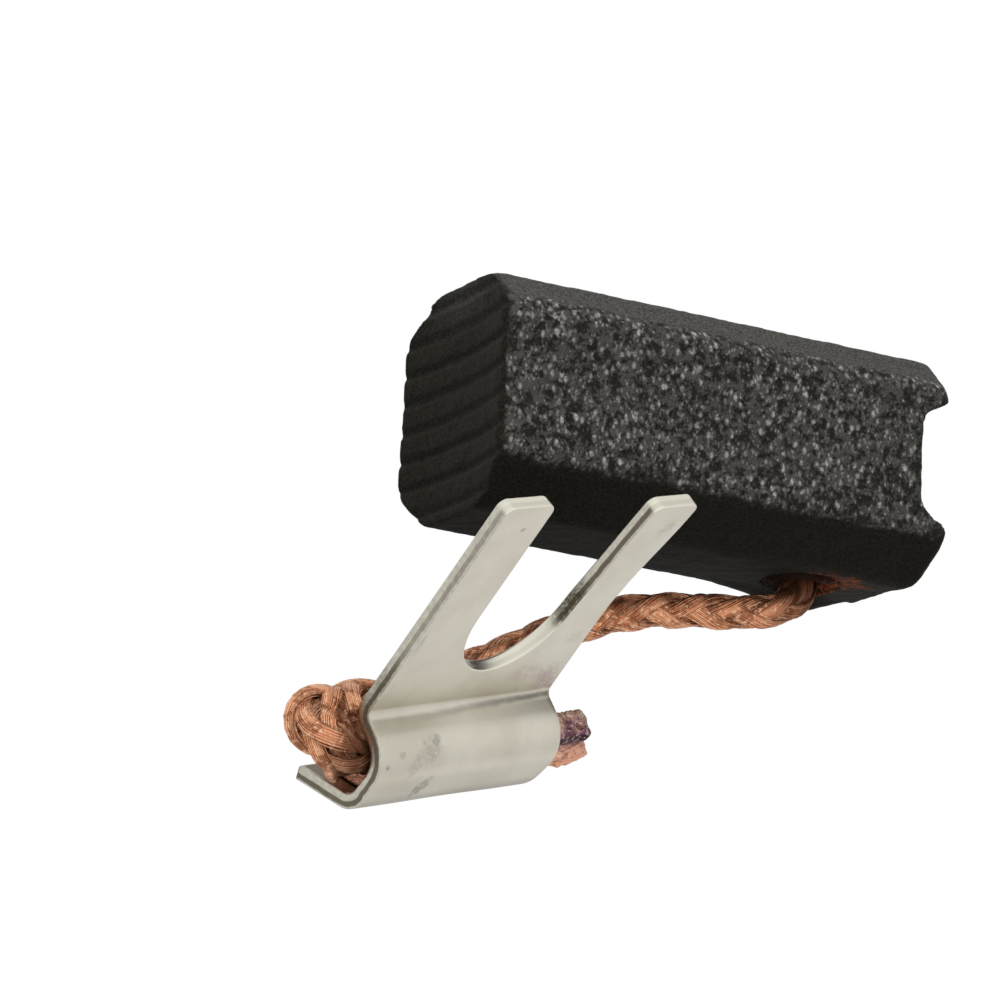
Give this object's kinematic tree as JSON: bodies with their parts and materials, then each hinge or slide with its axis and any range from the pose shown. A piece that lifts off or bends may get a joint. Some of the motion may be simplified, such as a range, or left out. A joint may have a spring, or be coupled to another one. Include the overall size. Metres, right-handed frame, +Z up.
{
  "type": "carbon brush",
  "caption": "Carbon brush for an electric motor: ridged carbon block with a braided copper pigtail welded into a stamped fork terminal.",
  "frame": {"origin": "middle of the pressed face that the carbon block lies on", "axes": "+X along the block towards its rear end, away from the commutator; +Z up; the pigtail leaves the face at -Y"},
  "size_m": [0.0222, 0.0176, 0.0129],
  "materials": {
    "carbon": "matt granular electrographite",
    "copper_powder": "tamped copper powder, dull",
    "copper_braid": "bare copper wire braid",
    "copper_weld": "compacted copper braid with heat tint",
    "nickel_plate": "nickel-plated, lightly rolled and stained"
  },
  "bodies": {
    "root": {"carbon_block": "carbon", "tamped_powder": "copper_powder", "pigtail": "copper_braid", "pigtail_weld": "copper_weld", "fork_terminal": "nickel_plate"}
  },
  "joints": []
}
